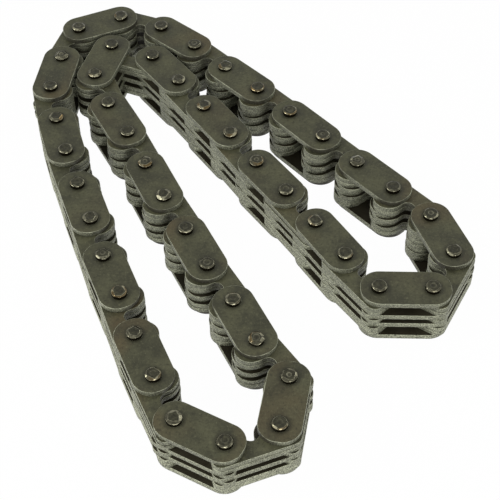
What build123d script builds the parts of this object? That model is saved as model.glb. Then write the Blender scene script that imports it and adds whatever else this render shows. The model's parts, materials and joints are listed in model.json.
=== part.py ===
from build123d import *

import math
import os

# Endless silent timing chain, lying on its side. Millimetres and degrees, Z up, the pins upright.
# The origin is on the surface that the lower pin ends stand on, under the middle of the chain's plan.
PITCH = 12.7

# Pins, riveted at both ends
PIN_D = 3.8
PIN_PROUD = 1.15
PIN_CHAMFER = 0.35
DISH_D = 2.0
DISH_FLOOR_D = 1.2
DISH_DEEP = 0.15

# Laminations, from the bottom to the top: G is a plate of a guide link, I a plate of an inner link
STACK = "GIIGIGIIG"
PLATE_T = 1.45
PLATE_GAP = 0.04

# Bores: radial clearance of a plate that turns on its pin, and of the one pivot where the loop is joined
RUNNING_GAP = 0.04
JOINED_GAP = 0.3

# Toothed plate: a straight back and two rounded teeth, parted by a crotch that runs a little past the pin line
TOOTHED_BACK = 5.1
CROTCH_W = 3.6
CROTCH_PAST = 0.6
TOOTH_RISE = 1.35

# Guide plate: nearly an obround, a little wider on its inner side
GUIDE_END = 4.5
GUIDE_BACK = 5.05
GUIDE_INNER = 5.0
GUIDE_FLAT = 0.7

# Heading of each link as the chain lies, anticlockwise from +X, clockwise round the loop with a guide link first.
# The right end has two more links, which close the loop.
HEADINGS = {
    "right arm, inner strand": [122, 123, 125, 122, 124, 124, 126],
    "fold between the arms": [157, -108, -70],
    "left arm, inner strand": [-63, -66, -66, -63, -65, -61, -65, -56],
    "left end": [-101, -160, 151],
    "left arm, outer strand": [113, 112, 109, 111, 108, 109, 108, 106, 102],
    "top bend": [81, 72, 22, -22, -41],
    "right arm, outer strand": [-47, -46, -48, -49, -49, -48, -48],
    "right end": [-70, -119],
}

# The pin, counted round the loop from 0, whose inner link carries the joined gap, and the two links
# whose pieces are written one by one
JOINED_PIN = 32
PIECEWISE_LINKS = (0, 45)

ROW = PLATE_T + PLATE_GAP
STACK_H = len(STACK) * ROW - PLATE_GAP
TOOTH_R = (PITCH - CROTCH_W) / 2


def step(point, heading):
    """The point one pitch on from a point, in the plan."""
    turn = math.radians(heading)
    return point[0] + PITCH * math.cos(turn), point[1] + PITCH * math.sin(turn)


def heading_between(a, b):
    return math.degrees(math.atan2(b[1] - a[1], b[0] - a[0]))


def closing_pin(a, b):
    """The pin a pitch from both a and b, on the outer side of the loop."""
    half = math.dist(a, b) / 2
    rise = math.sqrt(PITCH**2 - half**2) / (2 * half)
    return (a[0] + b[0]) / 2 - rise * (b[1] - a[1]), (a[1] + b[1]) / 2 + rise * (b[0] - a[0])


def lay_out():
    """Every pin's place in the plan and every link's heading, before the loop is centred."""
    headings = [h for stretch in HEADINGS.values() for h in stretch]
    pins = [(0.0, 0.0)]
    for h in headings:
        pins.append(step(pins[-1], h))
    last = closing_pin(pins[-1], pins[0])
    headings += [heading_between(pins[-1], last), heading_between(last, pins[0])]
    return pins + [last], headings


def toothed_outline():
    """Toothed plate without its bores: first pin at the origin, second along +X, teeth towards -Y."""
    tip = -TOOTH_RISE
    shoulder = TOOTHED_BACK - TOOTH_R
    with BuildLine() as edge:
        Line((0, TOOTHED_BACK), (PITCH, TOOTHED_BACK))
        CenterArc((PITCH, shoulder), TOOTH_R, 90, -90)
        Line((PITCH + TOOTH_R, shoulder), (PITCH + TOOTH_R, tip))
        CenterArc((PITCH, tip), TOOTH_R, 0, -180)
        ThreePointArc((PITCH - TOOTH_R, tip), (PITCH / 2, CROTCH_PAST), (TOOTH_R, tip))
        CenterArc((0, tip), TOOTH_R, 0, -180)
        Line((-TOOTH_R, tip), (-TOOTH_R, shoulder))
        CenterArc((0, shoulder), TOOTH_R, 180, -90)
    return make_face(edge.line)


def guide_outline():
    """Guide plate without its bores, placed as the toothed plate is."""
    width = GUIDE_BACK + GUIDE_INNER
    middle = Pos(PITCH / 2, (GUIDE_BACK - GUIDE_INNER) / 2)
    return middle * RectangleRounded(PITCH + 2 * GUIDE_END, width, (width - GUIDE_FLAT) / 2)


def plate(outline, first_gap, second_gap):
    """A plate of one lamination with a bore round each pin, at the given radial clearances."""
    first = Circle(PIN_D / 2 + first_gap)
    second = Pos(PITCH, 0) * Circle(PIN_D / 2 + second_gap)
    return extrude(outline - first - second, amount=PLATE_T)


def pin():
    """A pin with both ends bevelled and dished by riveting, standing on the origin."""
    length = STACK_H + 2 * PIN_PROUD
    shank = Cylinder(PIN_D / 2, length, align=(Align.CENTER, Align.CENTER, Align.MIN))
    upper_dish = Cone(DISH_FLOOR_D / 2, DISH_D / 2, DISH_DEEP, align=(Align.CENTER, Align.CENTER, Align.MAX))
    lower_dish = Cone(DISH_D / 2, DISH_FLOOR_D / 2, DISH_DEEP, align=(Align.CENTER, Align.CENTER, Align.MIN))
    rims = shank.edges().filter_by(GeomType.CIRCLE)
    return chamfer(rims, PIN_CHAMFER) - Pos(0, 0, length) * upper_dish - lower_dish


def row_height(row):
    return PIN_PROUD + row * ROW


def guide_link():
    """The pieces of a guide link in its own frame: two guide plates, its toothed plates and its two pins."""
    rows = [row for row, kind in enumerate(STACK) if kind == "G"]
    outer = plate(guide_outline(), 0, 0)
    toothed = plate(toothed_outline(), RUNNING_GAP, RUNNING_GAP)
    pieces = {"lower_guide_plate": Pos(0, 0, row_height(rows[0])) * outer}
    for number, row in enumerate(rows[1:-1], 1):
        pieces[f"toothed_plate_{number}"] = Pos(0, 0, row_height(row)) * toothed
    pieces["upper_guide_plate"] = Pos(0, 0, row_height(rows[-1])) * outer
    pieces["first_pin"] = pin()
    pieces["second_pin"] = Pos(PITCH, 0) * pin()
    return pieces


def inner_link(second_gap=RUNNING_GAP):
    """The toothed plates of an inner link in its own frame, loose on the pins of the guide links beside it."""
    rows = [row for row, kind in enumerate(STACK) if kind == "I"]
    toothed = plate(toothed_outline(), RUNNING_GAP, second_gap)
    return {f"toothed_plate_{n}": Pos(0, 0, row_height(row)) * toothed for n, row in enumerate(rows, 1)}


def link_name(number):
    kind = "inner_link" if number % 2 else "guide_link"
    return f"{kind}_{number // 2 + 1:02d}"


def link_places():
    """Where each link's frame goes, with the loop's plan centred on the origin."""
    pins, headings = lay_out()
    places = [Pos(x, y) * Rot(0, 0, h) for (x, y), h in zip(pins, headings)]
    outlines = [guide_outline() + toothed_outline(), toothed_outline()]
    plan = Compound([place * outlines[number % 2] for number, place in enumerate(places)])
    middle = plan.bounding_box().center()
    return [Pos(-middle.X, -middle.Y) * place for place in places]


def main():
    os.makedirs("parts", exist_ok=True)
    kinds = [guide_link(), inner_link()]
    for number, place in enumerate(link_places()):
        pieces = kinds[number % 2]
        if number == JOINED_PIN - 1:
            pieces = inner_link(second_gap=JOINED_GAP)
        placed = {name: place * piece for name, piece in pieces.items()}
        if number in PIECEWISE_LINKS:
            for name, piece in placed.items():
                export_step(piece, f"parts/{link_name(number)}_{name}.step")
        else:
            export_step(Compound(list(placed.values())), f"parts/{link_name(number)}.step")


if __name__ == "__main__":
    main()
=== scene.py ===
import json
import math
import random

import bpy
import numpy as np
from mathutils import Euler, Matrix, Vector
from mathutils.geometry import tessellate_polygon

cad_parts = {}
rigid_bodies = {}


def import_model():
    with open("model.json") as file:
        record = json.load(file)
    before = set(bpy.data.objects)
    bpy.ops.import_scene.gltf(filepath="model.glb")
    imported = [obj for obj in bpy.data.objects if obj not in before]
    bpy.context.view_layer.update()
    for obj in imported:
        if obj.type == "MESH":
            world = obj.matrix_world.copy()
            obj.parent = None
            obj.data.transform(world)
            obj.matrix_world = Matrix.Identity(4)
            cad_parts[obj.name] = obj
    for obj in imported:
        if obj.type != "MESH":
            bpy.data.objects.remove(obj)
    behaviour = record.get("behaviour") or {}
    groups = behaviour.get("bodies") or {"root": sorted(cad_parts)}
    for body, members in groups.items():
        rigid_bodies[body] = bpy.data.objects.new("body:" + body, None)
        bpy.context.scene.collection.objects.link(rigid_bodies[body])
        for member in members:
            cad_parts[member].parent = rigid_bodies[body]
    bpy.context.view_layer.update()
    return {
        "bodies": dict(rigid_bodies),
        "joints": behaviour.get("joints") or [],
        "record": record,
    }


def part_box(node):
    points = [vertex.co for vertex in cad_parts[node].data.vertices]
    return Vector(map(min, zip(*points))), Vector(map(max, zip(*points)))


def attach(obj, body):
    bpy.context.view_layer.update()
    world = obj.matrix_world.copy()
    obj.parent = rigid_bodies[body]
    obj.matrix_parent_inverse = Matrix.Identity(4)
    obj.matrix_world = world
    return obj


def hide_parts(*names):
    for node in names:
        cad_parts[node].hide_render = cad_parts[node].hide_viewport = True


bl_info = {
    "name": "Silent timing chain",
    "version": (1, 0, 0),
    "blender": (4, 5, 0),
    "location": "View3D > Sidebar > Chain",
    "description": "Dresses a silent timing chain in oiled, stamped steel and lights it on a pale table",
    "category": "Object",
}

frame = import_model()

MM = 0.001

# The two links that the CAD gives piece by piece, from which the rows of the stack are read
SPLIT_GUIDE_LINK = "guide_link_01"
SPLIT_INNER_LINK = "inner_link_23"


def height_of(node):
    """Lowest and highest level of a node."""
    low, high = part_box(node)
    return low.z, high.z


def width_of(node):
    """How wide a node is along X."""
    low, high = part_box(node)
    return high.x - low.x


PIN_LOW, PIN_HIGH = height_of(f"{SPLIT_GUIDE_LINK}_first_pin")
PIN_R = width_of(f"{SPLIT_GUIDE_LINK}_first_pin") / 2
GUIDE_ROWS = [height_of(f"{SPLIT_GUIDE_LINK}_{side}_guide_plate") for side in ("lower", "upper")]
TOOTHED_ROWS = {
    "guide": [height_of(f"{SPLIT_GUIDE_LINK}_toothed_plate_{k}") for k in (1, 2)],
    "inner": [height_of(f"{SPLIT_INNER_LINK}_toothed_plate_{k}") for k in (1, 2, 3, 4, 5)],
}
PLATE_T = GUIDE_ROWS[0][1] - GUIDE_ROWS[0][0]
TOP_ROW = TOOTHED_ROWS["inner"][-1][1]

# Seed of the differences between like pieces, and the range of an angle that may lie anywhere, in radians
SEED = 46
ANY_ANGLE = (0, 6.3)

# How many points each round has
TOOTH_POINTS = 44
SHOULDER_POINTS = 14
CROTCH_POINTS = 18
GUIDE_CORNER_POINTS = 24
BORE_POINTS = 40
PIN_POINTS = 64

# Stamped plates: how far the torn band stands back, how much height it takes to get there, the broken edge of
# a bore, the clearance of a guide plate on its own pins, and its share of the wander of the stamped edges
TORN_BACK = 0.03 * MM
TEAR = 0.08 * MM
BORE_BREAK = 0.1 * MM
PRESS_GAP = 0.005 * MM
GUIDE_WANDER = 0.2

# Pin ends: how much they tilt, how softly the flat and the facets meet, how many rings they have, the deepest
# that a facet goes, and how far below the end the plain side begins
END_TILT = 0.04 * MM
FACET_BLEND = 0.04 * MM
END_RINGS = 20
DEEPEST_FACET = 0.6 * MM
PLAIN_SIDE = 0.65 * MM

# How light the steel of each kind of plate is, against the colours in Finish
GUIDE_FACE, GUIDE_EDGE = 1.0, 0.95
TOOTHED_FACE, TOOTHED_EDGE = 1.2, 1.0

# The camera as the photograph has it: its lens and sensor in millimetres, its height over the chain's upper
# side, how far it looks down, how far it leans, and how far from it the first pin stands in the plan
LENS = 91.63
SENSOR = 36.0
CAMERA_RISE = 234.75 * MM
LOOK_DOWN = math.radians(49.41)
LEAN = math.radians(-0.97)
FIRST_PIN_FROM_CAMERA = Vector((23.0 * MM, 199.1 * MM))

# Place and width of each lamp, and the table from its middle to its sides, in metres
FRONT_LAMP = (0.05, -0.45, 0.22), 0.25
LEFT_LAMP = (-0.6, -0.1, 0.4), 0.3
BACK_LAMP = (0.5, 0.42, 0.62), 0.16
TABLE_REACH = 3.0

# How white the table looks in the picture: the rest is its lit paint, which keeps the chain's shadow
TABLE_WHITE = 0.985
WHITE = (1, 1, 1, 1)


def link_number(body):
    """Place of a link in the loop, counted from 0: guide links are even, inner links odd."""
    kind, number = body.split("_link_")
    return 2 * (int(number) - 1) + (kind == "inner")


LINKS = sorted(frame["bodies"], key=link_number)


def closing_pin(a, b, pitch):
    """The pin a pitch from both a and b, on the outer side of the loop."""
    half = (b - a).length / 2
    rise = math.sqrt(pitch**2 - half**2) / (2 * half)
    return (a + b) / 2 + rise * Vector((a.y - b.y, b.x - a.x))


def find_pins():
    """Every pin's place in the plan, the pitch, and the number of the pin where the loop is joined.

    A link and its first pin have the same number. The joined pin has no joint: it closes the loop."""
    count = len(LINKS)
    pins = {}
    for joint in frame["joints"]:
        a, b = link_number(joint["parent"]), link_number(joint["child"])
        number = 0 if {a, b} == {0, count - 1} else max(a, b)
        pins[number] = Vector(joint["pos_m"][:2])
    known = [n for n in pins if (n + 1) % count in pins]
    pitch = sum((pins[n] - pins[(n + 1) % count]).length for n in known) / len(known)
    joined = (set(range(count)) - set(pins)).pop()
    pins[joined] = closing_pin(pins[(joined - 1) % count], pins[(joined + 1) % count], pitch)
    return [pins[n] for n in range(count)], pitch, joined


PINS, PITCH, JOINED_PIN = find_pins()


def link_frame(number):
    """A link's own frame: its first pin at the origin, +X to its second pin, teeth towards -Y."""
    start, end = PINS[number], PINS[(number + 1) % len(PINS)]
    turn = math.atan2(end.y - start.y, end.x - start.x)
    return Matrix.Translation((start.x, start.y, 0)) @ Matrix.Rotation(turn, 4, "Z")


class PlateSizes(bpy.types.PropertyGroup):
    crotch: bpy.props.FloatProperty(
        name="Crotch width", description="Gap between the two teeth of a plate",
        default=3.6 * MM, unit="LENGTH")
    crotch_past: bpy.props.FloatProperty(
        name="Crotch past pins", description="How far the crotch runs past the pin line",
        default=0.6 * MM, unit="LENGTH")
    tooth_rise: bpy.props.FloatProperty(
        name="Tooth rise", description="From the pin line to where the round of a tooth begins",
        default=1.35 * MM, unit="LENGTH")
    toothed_back: bpy.props.FloatProperty(
        name="Toothed back", description="Toothed plate from the pin line to its back",
        default=5.1 * MM, unit="LENGTH")
    toothed_end: bpy.props.FloatProperty(
        name="Toothed end", description="Toothed plate past each pin, at its back",
        default=4.15 * MM, unit="LENGTH")
    shoulder: bpy.props.FloatProperty(
        name="Shoulder", description="Radius between a toothed plate's back and its ends",
        default=2.3 * MM, unit="LENGTH")
    flank: bpy.props.FloatProperty(
        name="Outer flank", description="Toothed plate past each pin, where the tooth's round begins",
        default=3.75 * MM, unit="LENGTH")
    guide_end: bpy.props.FloatProperty(
        name="Guide end", description="Guide plate past each pin, along the link",
        default=4.5 * MM, unit="LENGTH")
    guide_back: bpy.props.FloatProperty(
        name="Guide back", description="Guide plate from the pin line to its outer side",
        default=5.05 * MM, unit="LENGTH")
    guide_inner: bpy.props.FloatProperty(
        name="Guide inner side", description="Guide plate from the pin line to its inner side",
        default=5.0 * MM, unit="LENGTH")
    guide_flat: bpy.props.FloatProperty(
        name="Guide end flat", description="Straight part of a guide plate's end",
        default=0.7 * MM, unit="LENGTH")
    bore_gap: bpy.props.FloatProperty(
        name="Bore clearance", description="Radial clearance of a toothed plate on its pins",
        default=0.04 * MM, unit="LENGTH")
    joined_gap: bpy.props.FloatProperty(
        name="Joined clearance", description="That clearance on the one pin where the loop is joined",
        default=0.3 * MM, unit="LENGTH")
    roll: bpy.props.FloatProperty(
        name="Rolled edge", description="Radius that stamping leaves on a plate's upper edge",
        default=0.12 * MM, unit="LENGTH")
    burr: bpy.props.FloatProperty(
        name="Lower edge", description="Radius of a plate's lower edge",
        default=0.1 * MM, unit="LENGTH")
    groove: bpy.props.FloatProperty(
        name="Groove", default=0.14 * MM, unit="LENGTH",
        description="Radius, at the teeth's tips, of the edges that meet below a guide link's toothed plate")
    wander: bpy.props.FloatProperty(
        name="Edge wander", description="How far the stamped edges of one stack differ from each other",
        default=0.22 * MM, unit="LENGTH")


class PinSizes(bpy.types.PropertyGroup):
    bevel: bpy.props.FloatProperty(
        name="Bevel", description="Width of the round bevel of a pin end",
        default=0.30 * MM, unit="LENGTH")
    bevel_slope: bpy.props.FloatProperty(
        name="Bevel slope", description="Mean slope of that bevel",
        default=math.radians(38), unit="ROTATION")
    facets: bpy.props.IntProperty(
        name="Facets", description="How many flats riveting leaves round a pin end", default=6)
    facet_start: bpy.props.FloatProperty(
        name="Facet start", description="About how far a flat's upper edge is from the pin's axis",
        default=1.42 * MM, unit="LENGTH")
    facet_slope: bpy.props.FloatProperty(
        name="Facet slope", description="About how steep the flats are, which each one varies",
        default=math.radians(34), unit="ROTATION")
    rim: bpy.props.FloatProperty(
        name="Rim", description="Rounding between a pin's end and its side",
        default=0.06 * MM, unit="LENGTH")
    dish: bpy.props.FloatProperty(
        name="Dish radius", description="Largest radius of the shallow dish in a pin end",
        default=1.0 * MM, unit="LENGTH")
    dish_depth: bpy.props.FloatProperty(
        name="Dish depth", description="Largest depth of that dish",
        default=0.12 * MM, unit="LENGTH")


class Finish(bpy.types.PropertyGroup):
    face: bpy.props.FloatVectorProperty(
        name="Plate face", description="Oiled oxide on the faces of the plates",
        subtype="COLOR", default=(0.053, 0.053, 0.029))
    face_brown: bpy.props.FloatVectorProperty(
        name="Brown tint", description="Brown patches in that oxide",
        subtype="COLOR", default=(0.082, 0.062, 0.029))
    # Painted shade: this colour darkens the faces inside the stack, the crotch walls, the guide plates' inner
    # ends and the pins' sides
    painted_shade: bpy.props.FloatVectorProperty(
        name="Covered steel", description="Brown oil on the steel inside the stack",
        subtype="COLOR", default=(0.022, 0.0175, 0.010))
    edge: bpy.props.FloatVectorProperty(
        name="Stamped edge", description="Bright steel of the stamped edges",
        subtype="COLOR", default=(0.335, 0.345, 0.245))
    # Also painted shade: this colour darkens the edges high in the stack, their seams and the surfaces that
    # face down
    edge_pits_and_shade: bpy.props.FloatVectorProperty(
        name="Edge pits", description="Oil in the pits and streaks of the edges",
        subtype="COLOR", default=(0.060, 0.060, 0.042))
    pin: bpy.props.FloatVectorProperty(
        name="Pin end", description="Steel of the pin ends",
        subtype="COLOR", default=(0.036, 0.035, 0.020))
    facet: bpy.props.FloatVectorProperty(
        name="Pin facet", description="Steel of the facets of a pin end",
        subtype="COLOR", default=(0.072, 0.069, 0.047))
    facet_bronze: bpy.props.FloatVectorProperty(
        name="Bronzed facet", description="Those facets where heat has tinted them",
        subtype="COLOR", default=(0.11, 0.078, 0.034))


class Studio(bpy.types.PropertyGroup):
    floor: bpy.props.FloatVectorProperty(
        name="Floor", description="Colour of the table", subtype="COLOR", default=(0.8, 0.8, 0.8))
    sky: bpy.props.FloatProperty(
        name="Room light", description="Strength of the even light from all round", default=0.36)
    front: bpy.props.FloatProperty(
        name="Front lamp", description="Power of the lamp at the front", default=1.3, unit="POWER")
    left: bpy.props.FloatProperty(
        name="Left lamp", description="Power of the lamp at the left", default=3.0, unit="POWER")
    back: bpy.props.FloatProperty(
        name="Back lamp", description="Power of the lamp at the back right", default=0.9, unit="POWER")


def arc(centre, radius, start, end, count):
    """Points of an arc, from a start angle to an end angle in degrees."""
    turn = np.radians(np.linspace(start, end, count))
    return np.column_stack([centre[0] + radius * np.cos(turn), centre[1] + radius * np.sin(turn)])


def toothed_outline(sizes):
    """Outline of a toothed plate, clockwise, teeth towards -Y.

    Its right half is a shoulder and a tooth with a half-oval tip. The left half is its mirror image."""
    corner = sizes.shoulder
    corner_centre = (PITCH + sizes.toothed_end - corner, sizes.toothed_back - corner)
    shoulder = arc(corner_centre, corner, 90, 0, SHOULDER_POINTS)
    inner, tip = (PITCH - sizes.crotch) / 2, -sizes.tooth_rise
    wide = (sizes.flank + inner) / 2
    tooth = arc((0, 0), 1, 0, -180, TOOTH_POINTS) * (wide, inner) + (PITCH + sizes.flank - wide, tip)
    # The crotch is one arc from tooth to tooth, through its deepest point
    half, deep = sizes.crotch / 2, sizes.crotch_past - tip
    bend = (half**2 + deep**2) / (2 * deep)
    lean = math.degrees(math.asin((deep - bend) / bend))
    crotch = arc((PITCH / 2, sizes.crotch_past - bend), bend, -lean, 180 + lean, CROTCH_POINTS)
    right = np.vstack([shoulder, tooth[:-1]])
    left = (right * (-1, 1) + (PITCH, 0))[::-1]
    return np.vstack([right, crotch, left])


def guide_outline(sizes):
    """Outline of a guide plate, clockwise."""
    width = sizes.guide_back + sizes.guide_inner
    r = (width - sizes.guide_flat) / 2
    left, right = -sizes.guide_end + r, PITCH + sizes.guide_end - r
    top, bottom = sizes.guide_back - r, -sizes.guide_inner + r
    corners = [((right, top), 90), ((right, bottom), 0), ((left, bottom), -90), ((left, top), 180)]
    return np.vstack([arc(centre, r, turn, turn - 90, GUIDE_CORNER_POINTS) for centre, turn in corners])


def outward(outline):
    """Unit normals of a clockwise outline, pointing out."""
    along = np.roll(outline, -1, 0) - np.roll(outline, 1, 0)
    normal = np.column_stack([-along[:, 1], along[:, 0]])
    return normal / np.linalg.norm(normal, axis=1)[:, None]


def wobble(count, rng, waves=6):
    """A smooth closed random curve, scaled to reach 1 or -1."""
    t = np.linspace(0, 2 * math.pi, count, endpoint=False)
    total = np.zeros(count)
    for wave in range(1, waves + 1):
        total += rng.uniform(-1, 1) / wave**0.5 * np.sin(wave * t + rng.uniform(*ANY_ANGLE))
    return total / max(1e-9, np.abs(total).max())


# Material slots of a plate
FACE, EDGE = 0, 1


class Piece:
    """Vertices, faces and surface marks of one object, gathered plate by plate or pin by pin.

    A face's marks are its material slot and whether it is shaded smooth."""

    def __init__(self):
        self.points, self.places, self.shades = [], [], []
        self.faces, self.marks = [], []

    def add(self, points, places, shade, faces, marks):
        """Adds a plate or pin: its points in the link's frame and in its own, its shade, and its faces."""
        start = sum(len(p) for p in self.points)
        self.points.append(points)
        self.places.append(places)
        self.shades.append(np.full(len(points), shade, np.float32))
        self.faces += [tuple(start + i for i in face) for face in faces]
        self.marks += marks

    def build(self, name, matrix, materials):
        """Makes the object. Each point keeps its shade and, in millimetres, its place on its plate or pin."""
        points = np.vstack(self.points)
        mesh = bpy.data.meshes.new(name)
        turned = points @ np.array(matrix.to_3x3()).T + np.array(matrix.translation)
        mesh.from_pydata(turned.tolist(), [], self.faces)
        place = mesh.attributes.new("own_place", "FLOAT_VECTOR", "POINT")
        place.data.foreach_set("vector", (np.vstack(self.places) / MM).astype(np.float32).ravel())
        shade = mesh.attributes.new("shade", "FLOAT", "POINT")
        shade.data.foreach_set("value", np.concatenate(self.shades))
        for material in materials:
            mesh.materials.append(material)
        mesh.polygons.foreach_set("material_index", [slot for slot, smooth in self.marks])
        mesh.polygons.foreach_set("use_smooth", [smooth for slot, smooth in self.marks])
        mesh.validate()
        mesh.update()
        obj = bpy.data.objects.new(name, mesh)
        bpy.context.scene.collection.objects.link(obj)
        return obj


def ragged_round(radius, count, rng):
    """The radius of a stamped edge at each point of an outline."""
    return radius * (0.75 + 0.45 * wobble(count, rng, 11))


def wall_profile(roll, burr, count, rng):
    """Inset and height of each ring of a stamped wall.

    From the top these are the rolled edge, the burnished band, the torn band behind it and the lower edge."""
    roll = ragged_round(roll, count, rng)
    burr = ragged_round(burr, count, rng)
    band = PLATE_T * (rng.uniform(0.45, 0.6) + 0.05 * wobble(count, rng, 11))
    rings = []
    for turn in map(math.radians, (0, 30, 60, 90)):
        rings.append((roll * (1 - math.sin(turn)), PLATE_T - roll * (1 - math.cos(turn))))
    flush = np.zeros(count)
    rings += [(flush, band), (flush + TORN_BACK, band - TEAR)]
    for turn in map(math.radians, (0, 45, 90)):
        rings.append((TORN_BACK + burr * (1 - math.cos(turn)), burr * (1 - math.sin(turn))))
    return rings


def strips(start, rings, count):
    """Quads between neighbouring rings of the same count, whose points follow each other from a start."""
    ahead = [(k + 1) % count for k in range(count)]
    quads = []
    for first in range(start, start + (rings - 1) * count, count):
        second = first + count
        quads += [(first + k, first + ahead[k], second + ahead[k], second + k) for k in range(count)]
    return quads


def flat_face(points, loops, upper):
    """Triangles between an outline and its bores, given as ranges of points, facing up or down."""
    indices = [i for loop in loops for i in loop]
    polygons = [[Vector((*points[i][:2], 0)) for i in loop] for loop in loops]
    triangles = []
    for triangle in tessellate_polygon(polygons):
        corners = [indices[i] for i in triangle]
        a, b, c = (points[i] for i in corners)
        turns_left = (b[0] - a[0]) * (c[1] - a[1]) - (b[1] - a[1]) * (c[0] - a[0]) > 0
        triangles.append(tuple(corners if turns_left == upper else corners[::-1]))
    return triangles


def plate(piece, outline, bores, low, rng, uneven, roll, burr):
    """Adds one stamped plate: an uneven wall, two bores with broken edges, and flat faces."""
    count = len(outline)
    inset = uneven * (rng.uniform(0.1, 0.75) + 0.25 * wobble(count, rng))[:, None]
    normal = outward(outline)
    rings = []
    for back, height in wall_profile(roll, burr, count, rng):
        rings.append(np.column_stack([outline - (inset + back[:, None]) * normal, height]))
    faces = strips(0, len(rings), count)
    total = len(rings) * count
    upper_loops, lower_loops = [range(count)], [range(total - count, total)]
    bore_wall = [(BORE_BREAK, PLATE_T), (0, PLATE_T - BORE_BREAK), (0, BORE_BREAK), (BORE_BREAK, 0)]
    for centre, radius in bores:
        for wide, height in bore_wall:
            ring = arc(centre, radius + wide, 0, 360, BORE_POINTS + 1)[:-1]
            rings.append(np.column_stack([ring, np.full(BORE_POINTS, height)]))
        faces += strips(total, len(bore_wall), BORE_POINTS)
        upper_loops.append(range(total, total + BORE_POINTS))
        total += len(bore_wall) * BORE_POINTS
        lower_loops.append(range(total - BORE_POINTS, total))
    marks = [(EDGE, True)] * len(faces)
    points = np.vstack(rings)
    for loops, upper in ((upper_loops, True), (lower_loops, False)):
        faces += flat_face(points, loops, upper)
    marks += [(FACE, False)] * (len(faces) - len(marks))
    piece.add(points + np.array([0, 0, low]), points, rng.uniform(0, 1), faces, marks)


def pin_end(sizes, turn, rng):
    """Rings of a pin's riveted end as radius and drop below the end's level, from the side to the middle.

    The end is a flat cut by sloping facets, with a shallow dish in the middle."""
    phase = rng.uniform(*ANY_ANGLE)
    bevel = math.tan(sizes.bevel_slope * rng.uniform(0.85, 1.15))
    spread = rng.uniform(0.78, 1.12)
    facets = []
    for k in range(sizes.facets):
        towards = phase + 2 * math.pi * (k + rng.uniform(-0.3, 0.3)) / sizes.facets
        slope = math.tan(sizes.facet_slope * rng.uniform(0.55, 1.25))
        facets.append((towards, slope, sizes.facet_start * spread * rng.uniform(0.9, 1.15)))
    dish = sizes.dish * rng.uniform(0.6, 1.0)
    deep = sizes.dish_depth * rng.uniform(0.3, 1.0)
    tilt = END_TILT * (1 + np.cos(turn + rng.uniform(*ANY_ANGLE)))
    radii = [PIN_R, PIN_R - 0.3 * sizes.rim, PIN_R - sizes.rim, *np.linspace(0.94, 0.08, END_RINGS) * PIN_R]
    rings = []
    for radius in radii:
        cuts = [slope * (radius * np.cos(turn - towards) - start) for towards, slope, start in facets]
        cut = np.maximum(np.max(cuts, axis=0), bevel * (radius - PIN_R + sizes.bevel))
        soft = (cut + np.sqrt(cut**2 + FACET_BLEND**2)) / 2
        hollow = deep * max(0.0, 1 - (radius / dish) ** 2)
        edge = sizes.rim * (1 - min(1.0, (PIN_R - radius) / sizes.rim)) ** 2
        rings.append((radius, np.minimum(soft + hollow + edge + tilt * radius / PIN_R, DEEPEST_FACET)))
    return rings


def pin(piece, sizes, x, rng):
    """Adds one pin, riveted at both ends, upright at a place along its link."""
    half = (PIN_HIGH - PIN_LOW) / 2
    turn = np.linspace(0, 2 * math.pi, PIN_POINTS, endpoint=False)
    around = np.column_stack([np.cos(turn), np.sin(turn)])
    shank = [(PIN_R, np.full(PIN_POINTS, drop)) for drop in (half, PLAIN_SIDE)]
    rings = []
    for sign in (-1, 1):
        drops = shank + pin_end(sizes, turn, rng)
        side = [np.column_stack([radius * around, sign * (half - drop)]) for radius, drop in drops]
        rings += side[::-1] if sign < 0 else side[1:]
    points = np.vstack(rings)
    caps = [tuple(range(PIN_POINTS))[::-1], tuple(range(len(points) - PIN_POINTS, len(points)))]
    faces = strips(0, len(rings), PIN_POINTS) + caps
    marks = [(0, True)] * len(faces)
    places = points + np.array([0, 0, half])
    piece.add(points + np.array([x, 0, PIN_LOW + half]), places, rng.uniform(0, 1), faces, marks)


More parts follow.
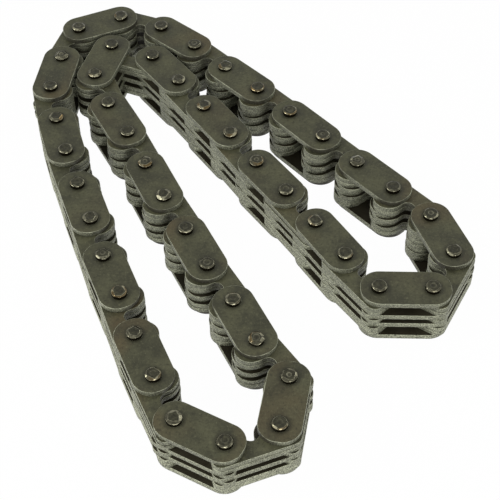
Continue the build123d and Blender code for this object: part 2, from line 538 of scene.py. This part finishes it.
class Nodes:
    """Shorthand for the node tree of a material or a world."""

    def __init__(self, owner, output):
        owner.use_nodes = True
        self.owner = owner
        self.tree = owner.node_tree
        self.tree.nodes.clear()
        self.output = self.tree.nodes.new(output)

    def add(self, kind, inputs=(), **options):
        """Adds a node. Each input is a value, or the socket that it comes from."""
        node = self.tree.nodes.new("ShaderNode" + kind)
        for key, value in options.items():
            setattr(node, key, value)
        for key, value in dict(inputs).items():
            socket = node.inputs[key]
            if isinstance(value, bpy.types.NodeSocket):
                self.tree.links.new(value, socket)
            else:
                socket.default_value = value
        return node

    def show(self, shader):
        """Joins a shader to the output, and gives the finished material or world."""
        self.tree.links.new(shader, self.output.inputs["Surface"])
        return self.owner

    def split(self, vector):
        """The X, Y and Z parts of a vector."""
        return self.add("SeparateXYZ", {0: vector}).outputs

    def maths(self, operation, a, b=0.0):
        return self.add("Math", {0: a, 1: b}, operation=operation).outputs[0]

    def length(self, x, y):
        """Length of a vector in the plan."""
        squares = self.maths("ADD", self.maths("MULTIPLY", x, x), self.maths("MULTIPLY", y, y))
        return self.maths("SQRT", squares)

    def noise(self, place, scale, detail=4.0, rough=0.6):
        """Noise over a place in millimetres, with a scale for each direction."""
        scaled = self.add("Mapping", {"Vector": place, "Scale": scale}).outputs[0]
        inputs = {"Vector": scaled, "Scale": 1.0, "Detail": detail, "Roughness": rough}
        return self.add("TexNoise", inputs).outputs[0]

    def ramp(self, value, low, high, start=0.0, end=1.0):
        """Value mapped from low..high to start..end, held at the ends."""
        return self.add("MapRange", {0: value, 1: low, 2: high, 3: start, 4: end}).outputs[0]

    def blend(self, mask, a, b):
        """Colour a, or b where the mask is 1."""
        return self.add("Mix", {0: mask, 6: a, 7: b}, data_type="RGBA").outputs[2]

    def layers(self, colour, *others):
        """A colour and others over it, each with a mask of where it shows, the topmost last."""
        for mask, other in others:
            colour = self.blend(mask, colour, other)
        return colour

    def surface(self, colour, roughness, metallic, specular, bump, strength, distance):
        """The finished material: steel with a bump of a strength and a height."""
        bumped = self.add("Bump", {"Height": bump, "Strength": strength, "Distance": distance}).outputs[0]
        shader = self.add("BsdfPrincipled", {
            "Base Color": colour, "Roughness": roughness, "Metallic": metallic,
            "Specular IOR Level": specular, "Normal": bumped})
        return self.show(shader.outputs[0])


def material_nodes(name):
    """The empty node tree of a new material."""
    return Nodes(bpy.data.materials.new(name), "ShaderNodeOutputMaterial")


def tone(colour, factor=1.0):
    """A colour made lighter or darker by a factor, as a socket takes it."""
    return (*(factor * c for c in colour), 1.0)


def chain_place(nodes):
    """Each point's place in the chain at rest, in millimetres, whatever the pose."""
    coordinates = nodes.add("TexCoord").outputs["Object"]
    return nodes.add("VectorMath", {0: coordinates, 1: (1 / MM,) * 3}, operation="MULTIPLY").outputs[0]


def own_place(nodes):
    """X, Y and Z of each point in millimetres: from its link's first pin on a plate, or from a pin's axis.

    Z goes up from the plate's or pin's own lowest point."""
    return nodes.split(nodes.add("Attribute", attribute_name="own_place").outputs["Vector"])


def shade_of(nodes, low, high):
    """The random shade of one plate or pin, from low to high."""
    shade = nodes.add("Attribute", attribute_name="shade").outputs["Fac"]
    return nodes.ramp(shade, 0.0, 1.0, low, high)


def upright_of(nodes):
    """How far the surface faces up: 1 on a level top, 0 on an upright wall."""
    return nodes.split(nodes.add("NewGeometry").outputs["Normal"])[2]


def off_middle(nodes, x):
    """How far along the link a point is from the middle between its pins."""
    return nodes.maths("ABSOLUTE", nodes.maths("SUBTRACT", x, PITCH / MM / 2))


def crotch_shade(nodes, x, y):
    """A mask of painted shade on the walls of a toothed plate's crotch, a deep recess, from a place in
    millimetres.
    """
    low = nodes.maths("MULTIPLY", nodes.ramp(y, -3.2, -0.4, 0.0, 0.6), nodes.ramp(y, 3.0, 1.5))
    return nodes.maths("MULTIPLY", nodes.ramp(off_middle(nodes, x), 3.4, 2.2), low)


def at_inner_ends(nodes, x, y):
    """A mask of a guide plate's ends on the loop's inner side, in shade, from a place in millimetres."""
    reach = PITCH / MM / 2
    ends = nodes.ramp(off_middle(nodes, x), reach - 1.5, reach + 0.5)
    return nodes.maths("MULTIPLY", ends, nodes.ramp(y, 1.0, -2.0, 0.0, 0.8))


def plate_face(finish, name, lightness):
    """Faces of the plates: dark oxide under oil, cloudy and speckled, with a darker ring round each pin that
    is part oily halo and part painted contact shade, and painted shade on the faces inside the stack.
    """
    nodes = material_nodes(name)
    place = chain_place(nodes)
    cloud = nodes.noise(place, (0.16, 0.16, 0.5))
    patch = nodes.noise(place, (0.05, 0.05, 0.2), 2.0)
    speck = nodes.noise(place, (1.5, 1.5, 1.5), 6.0, 0.75)
    nick = nodes.noise(place, (3.4, 3.4, 3.4), 3.0)
    face = [lightness * c for c in finish.face]
    brown = nodes.maths("MULTIPLY", nodes.ramp(patch, 0.5, 0.68), shade_of(nodes, -0.4, 1.0))
    x, y, _ = own_place(nodes)
    from_pin = nodes.length(nodes.maths("SUBTRACT", off_middle(nodes, x), PITCH / MM / 2), y)
    # Darker ring round each pin: part oily halo, part painted contact shade
    ring = nodes.ramp(from_pin, PIN_R / MM + 0.15, PIN_R / MM + 1.1, 0.6, 0.0)
    # Painted shade on the faces below the top row, inside the stack
    painted_shade = nodes.ramp(nodes.split(place)[2], TOP_ROW / MM - 0.9, TOP_ROW / MM - 0.3, 0.85, 0.0)
    colour = nodes.layers(
        nodes.blend(nodes.ramp(cloud, 0.38, 0.62), tone(face, 0.7), tone(face, 1.35)),
        (brown, tone(finish.face_brown, lightness)),
        (nodes.ramp(speck, 0.55, 0.70, 0.0, 0.65), tone(face, 2.4)),
        (nodes.ramp(speck, 0.47, 0.32, 0.0, 0.85), tone(face, 0.4)),
        (nodes.ramp(nick, 0.66, 0.74, 0.0, 0.8), tone(face, 3.2)),
        (ring, tone(face, 0.35)),
        (painted_shade, tone(finish.painted_shade)),
    )
    rough = nodes.ramp(cloud, 0.3, 0.7, 0.45, 0.62)
    return nodes.surface(
        colour, rough, metallic=0.3, specular=0.35, bump=speck, strength=0.35, distance=0.04 * MM)


def stamped_edge(finish, name, lightness, shade_mask):
    """Stamped edges: sandy grey steel with a painted highlight on the rolled line above and a dark seam
    below, with painted shade on the surfaces that face down.

    They are painted darker high in the stack, as if less lit than the lower rows, and painted shade lies
    where a mask of the plate says."""
    nodes = material_nodes(name)
    place = chain_place(nodes)
    x, y, z = own_place(nodes)
    upright = upright_of(nodes)
    level = nodes.split(place)[2]
    streak = nodes.noise(place, (0.5, 0.5, 4.0), 3.0)
    grain = nodes.noise(place, (4.4, 4.4, 4.8), 2.0, 0.8)
    ragged = nodes.noise(place, (0.7, 0.7, 1.4), 3.0)
    patch = nodes.noise(place, (0.22, 0.22, 0.5), 3.0)
    edge, dark = [lightness * c for c in finish.edge], tone(finish.edge_pits_and_shade)
    # Painted highlight: edges that face up, the rolled lines, are painted lighter, partly burnished steel
    wear_and_highlight = nodes.maths("MULTIPLY", nodes.ramp(upright, 0.25, 0.6), nodes.ramp(ragged, 0.4, 0.55, 0.1, 0.55))
    height = nodes.maths("DIVIDE", z, PLATE_T / MM)
    ragged_height = nodes.maths("ADD", height, nodes.ramp(ragged, 0.35, 0.65, -0.05, 0.06))
    seam = nodes.ramp(ragged_height, 0.1, 0.02, 0.0, 0.75)
    # Dark seam at the foot of each wall, with painted shade on the surfaces that face down
    below = nodes.maths("MAXIMUM", seam, nodes.ramp(upright, -0.15, -0.5, 0.0, 0.95))
    colour = nodes.layers(
        nodes.blend(nodes.ramp(patch, 0.35, 0.65), tone(edge, 0.8), tone(edge, 1.15)),
        (shade_of(nodes, 0.0, 0.3), dark),
        (nodes.ramp(streak, 0.48, 0.36, 0.0, 0.6), dark),
        (nodes.ramp(grain, 0.49, 0.40, 0.0, 0.95), tone(finish.edge_pits_and_shade, 0.5)),
        (nodes.ramp(grain, 0.53, 0.62, 0.0, 0.95), tone(edge, 1.9)),
        # Painted shade: the edges are painted darker high in the stack, lighter low down where the table's
        # light reaches
        (nodes.ramp(level, 0.3 * TOP_ROW / MM, TOP_ROW / MM, 0.0, 0.4), dark),
        # Painted shade where the plate's mask says
        (shade_mask(nodes, x, y), tone(finish.painted_shade)),
        (wear_and_highlight, tone(edge, 1.35)),
        (below, tone(finish.edge_pits_and_shade, 0.12)),
    )
    rough = nodes.ramp(grain, 0.3, 0.7, 0.65, 0.45)
    return nodes.surface(
        colour, rough, metallic=0.35, specular=0.4, bump=grain, strength=0.5, distance=0.06 * MM)


def pin_steel(finish):
    """Pins: dark oiled steel with facets that catch the lamps, some of them tinted bronze and some painted
    bright as glints, with painted highlights round the rim and the flat, and painted shade on the sides.
    """
    nodes = material_nodes("pin_steel_finish")
    place = chain_place(nodes)
    x, y, _ = own_place(nodes)
    upright = nodes.maths("ABSOLUTE", upright_of(nodes))
    mottle = nodes.noise(place, (1.3, 1.3, 1.3), 5.0, 0.75)
    fine = nodes.noise(place, (4.0, 4.0, 4.0), 4.0, 0.7)
    heat = nodes.noise(place, (0.11, 0.11, 0.11), 1.0)
    rub = nodes.noise(place, (0.45, 0.45, 0.45), 1.0)
    facet = nodes.ramp(upright, 0.97, 0.9)
    wear_and_highlight = nodes.maths("MULTIPLY", facet, nodes.ramp(mottle, 0.36, 0.5, 0.4, 1.0))
    # Painted glints: at random some facets are painted bright, partly rubbed steel
    rubbed_and_glint = nodes.maths("MULTIPLY", facet, nodes.ramp(rub, 0.57, 0.64, 0.0, 0.6))
    # Painted highlight: a light line along the edge between the flat end and its facets
    border_highlight = nodes.maths("MULTIPLY", nodes.ramp(upright, 0.995, 0.97), nodes.ramp(upright, 0.9, 0.94))
    border_highlight = nodes.maths("MULTIPLY", border_highlight, nodes.ramp(mottle, 0.38, 0.55, 0.2, 0.9))
    # Painted highlight: a light line round the rim of the pin end
    from_side = nodes.maths("SUBTRACT", PIN_R / MM, nodes.length(x, y))
    ring = nodes.maths("MULTIPLY", nodes.ramp(from_side, 0.14, 0.06), nodes.ramp(mottle, 0.42, 0.55))
    colour = nodes.layers(
        nodes.blend(nodes.ramp(mottle, 0.4, 0.65), tone(finish.pin, 0.45), tone(finish.pin, 1.5)),
        (nodes.ramp(fine, 0.60, 0.72, 0.0, 0.5), tone(finish.pin, 3.0)),
        (wear_and_highlight, nodes.blend(nodes.ramp(heat, 0.55, 0.62), tone(finish.facet), tone(finish.facet_bronze))),
        (rubbed_and_glint, tone(finish.facet, 6.0)),
        (border_highlight, tone(finish.facet, 2.8)),
        (nodes.maths("MULTIPLY", ring, 0.6), tone(finish.facet, 4.0)),
        # Painted shade on the sides of the pin
        (nodes.ramp(upright, 0.45, 0.2), tone(finish.painted_shade)),
    )
    rough, metallic = nodes.ramp(facet, 0.0, 1.0, 0.4, 0.2), nodes.ramp(facet, 0.0, 1.0, 0.3, 0.9)
    return nodes.surface(colour, rough, metallic, specular=0.25, bump=fine, strength=0.2, distance=0.02 * MM)


def dress(piece, name, body, materials):
    """Makes the object of a finished piece, which moves with its link."""
    obj = piece.build(name, link_frame(link_number(body)), materials)
    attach(obj, body)
    return obj


def nodes_of(body, word):
    """The CAD nodes of a link that hold a kind of piece.

    That is the link's one node, or else those of its nodes whose name has the word."""
    members = frame["record"]["behaviour"]["bodies"][body]
    return members if members == [body] else [node for node in members if word in node]


def links_of(kind):
    """The links of a kind, in their order round the loop."""
    return [body for body in LINKS if body.startswith(kind)]


class CHAIN_OT_guide_plates(bpy.types.Operator):
    """Makes the upper and lower guide plate of every guide link"""
    bl_idname = "chain.guide_plates"
    bl_label = "Guide plates"

    def execute(self, context):
        sizes, finish = context.scene.chain_plates, context.scene.chain_finish
        face = plate_face(finish, "guide_plate_face", GUIDE_FACE)
        edge = stamped_edge(finish, "guide_plate_edge", GUIDE_EDGE, at_inner_ends)
        outline = guide_outline(sizes)
        bores = [((x, 0), PIN_R + PRESS_GAP) for x in (0, PITCH)]
        rng = random.Random(SEED)
        for body in links_of("guide"):
            piece = Piece()
            for low, _ in GUIDE_ROWS:
                plate(piece, outline, bores, low, rng, GUIDE_WANDER * sizes.wander, sizes.roll, sizes.burr)
            obj = dress(piece, f"{body}.guide_plates", body, [face, edge])
            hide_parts(*nodes_of(body, "guide_plate"))
        return {"FINISHED"}


class CHAIN_OT_toothed_plates(bpy.types.Operator):
    """Makes the toothed plates of every link"""
    bl_idname = "chain.toothed_plates"
    bl_label = "Toothed plates"

    def execute(self, context):
        sizes, finish = context.scene.chain_plates, context.scene.chain_finish
        face = plate_face(finish, "toothed_plate_face", TOOTHED_FACE)
        edge = stamped_edge(finish, "toothed_plate_edge", TOOTHED_EDGE, crotch_shade)
        outline = toothed_outline(sizes)
        # The groove below a guide link's toothed plate is deepest at the tips of the teeth
        facing_tips = np.clip(-outward(outline)[:, 1], 0, 1)
        groove = sizes.roll + (sizes.groove - sizes.roll) * facing_tips
        rng = random.Random(SEED + 1)
        for body in LINKS:
            piece = Piece()
            second_gap = sizes.joined_gap if link_number(body) == JOINED_PIN - 1 else sizes.bore_gap
            bores = [((0, 0), PIN_R + sizes.bore_gap), ((PITCH, 0), PIN_R + second_gap)]
            guide = body.startswith("guide")
            for low, high in TOOTHED_ROWS["guide" if guide else "inner"]:
                under_guide = any(0 < other - high < PLATE_T / 2 for other, _ in TOOTHED_ROWS["guide"])
                roll, burr = (groove if under_guide else sizes.roll), (groove if guide else sizes.burr)
                plate(piece, outline, bores, low, rng, sizes.wander, roll, burr)
            obj = dress(piece, f"{body}.toothed_plates", body, [face, edge])
            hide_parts(*nodes_of(body, "toothed_plate"))
        return {"FINISHED"}


class CHAIN_OT_pins(bpy.types.Operator):
    """Makes the two riveted pins of every guide link"""
    bl_idname = "chain.pins"
    bl_label = "Pins"

    def execute(self, context):
        sizes, steel = context.scene.chain_pins, pin_steel(context.scene.chain_finish)
        rng = random.Random(SEED + 2)
        for body in links_of("guide"):
            piece = Piece()
            for x in (0, PITCH):
                pin(piece, sizes, x, rng)
            obj = dress(piece, f"{body}.pins", body, [steel])
            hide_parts(*nodes_of(body, "pin"))
        return {"FINISHED"}


def white_to_view(nodes, shown, lit):
    """Joins two shaders: what the camera and mirror-like surfaces see, and what lights the chain."""
    path = nodes.add("LightPath")
    seen = path.outputs["Is Camera Ray"]
    for name in ("Is Glossy Ray", "Is Transmission Ray"):
        seen = nodes.maths("MAXIMUM", seen, path.outputs[name])
    return nodes.add("MixShader", {0: seen, 1: lit, 2: shown}).outputs[0]


def make_world(studio):
    """White to look at, and an even room light on the chain."""
    nodes = Nodes(bpy.data.worlds.new("room"), "ShaderNodeOutputWorld")
    shown = nodes.add("Background", {"Color": WHITE, "Strength": 1.0}).outputs[0]
    lit = nodes.add("Background", {"Color": WHITE, "Strength": studio.sky}).outputs[0]
    bpy.context.scene.world = nodes.show(white_to_view(nodes, shown, lit))


def make_floor(studio):
    """A pale table, shown nearly white, which keeps a faint shadow."""
    nodes = material_nodes("table")
    paint = nodes.add("BsdfDiffuse", {"Color": tone(studio.floor)}).outputs[0]
    glow = nodes.add("Emission", {"Color": WHITE, "Strength": 1.0}).outputs[0]
    shown = nodes.add("MixShader", {0: TABLE_WHITE, 1: paint, 2: glow}).outputs[0]
    mesh = bpy.data.meshes.new("table")
    corners = [(x * TABLE_REACH, y * TABLE_REACH, 0) for x, y in ((-1, -1), (1, -1), (1, 1), (-1, 1))]
    mesh.from_pydata(corners, [], [(0, 1, 2, 3)])
    mesh.materials.append(nodes.show(white_to_view(nodes, shown, paint)))
    floor = bpy.data.objects.new("table", mesh)
    bpy.context.scene.collection.objects.link(floor)


def add_lamp(name, place, width, power):
    """A soft square lamp that points at the chain's middle."""
    data = bpy.data.lights.new(name, "AREA")
    data.size = width
    data.energy = power
    lamp = bpy.data.objects.new(name, data)
    lamp.location = place
    lamp.rotation_euler = (-Vector(place)).to_track_quat("-Z", "Y").to_euler()
    bpy.context.scene.collection.objects.link(lamp)


def make_camera():
    """The camera, placed from the first pin and the chain's upper side."""
    data = bpy.data.cameras.new("camera")
    data.sensor_width = SENSOR
    data.lens = LENS
    camera = bpy.data.objects.new("camera", data)
    camera.location = (*(PINS[0] - FIRST_PIN_FROM_CAMERA), GUIDE_ROWS[1][1] + CAMERA_RISE)
    turn = Euler((math.pi / 2 - LOOK_DOWN, 0, 0)).to_matrix() @ Matrix.Rotation(LEAN, 3, "Z")
    camera.rotation_euler = turn.to_euler()
    bpy.context.scene.collection.objects.link(camera)
    bpy.context.scene.camera = camera


class CHAIN_OT_studio(bpy.types.Operator):
    """Makes the table, the lamps, the room's light and the camera"""
    bl_idname = "chain.studio"
    bl_label = "Studio"

    def execute(self, context):
        studio = context.scene.chain_studio
        make_world(studio)
        make_floor(studio)
        add_lamp("front_lamp", *FRONT_LAMP, studio.front)
        add_lamp("left_lamp", *LEFT_LAMP, studio.left)
        add_lamp("back_lamp", *BACK_LAMP, studio.back)
        make_camera()
        context.scene.view_settings.view_transform = "Standard"
        return {"FINISHED"}


OPERATORS = [CHAIN_OT_guide_plates, CHAIN_OT_toothed_plates, CHAIN_OT_pins, CHAIN_OT_studio]
GROUPS = {"chain_plates": PlateSizes, "chain_pins": PinSizes, "chain_finish": Finish, "chain_studio": Studio}


class CHAIN_PT_panel(bpy.types.Panel):
    """Lists the chain's sizes, finishes and piece makers"""
    bl_idname = "CHAIN_PT_panel"
    bl_label = "Timing chain"
    bl_space_type = "VIEW_3D"
    bl_region_type = "UI"
    bl_category = "Chain"

    def draw(self, context):
        for name, cls in GROUPS.items():
            box = self.layout.box()
            for key in cls.__annotations__:
                box.prop(getattr(context.scene, name), key)
        for operator in OPERATORS:
            self.layout.operator(operator.bl_idname)


def register():
    for cls in [*GROUPS.values(), *OPERATORS, CHAIN_PT_panel]:
        bpy.utils.register_class(cls)
    for name, cls in GROUPS.items():
        setattr(bpy.types.Scene, name, bpy.props.PointerProperty(type=cls))


def unregister():
    for name in GROUPS:
        delattr(bpy.types.Scene, name)
    for cls in [CHAIN_PT_panel, *reversed(OPERATORS), *reversed(GROUPS.values())]:
        bpy.utils.unregister_class(cls)


def main():
    register()
    bpy.ops.chain.guide_plates()
    bpy.ops.chain.toothed_plates()
    bpy.ops.chain.pins()
    bpy.ops.chain.studio()


if __name__ == "__main__":
    main()
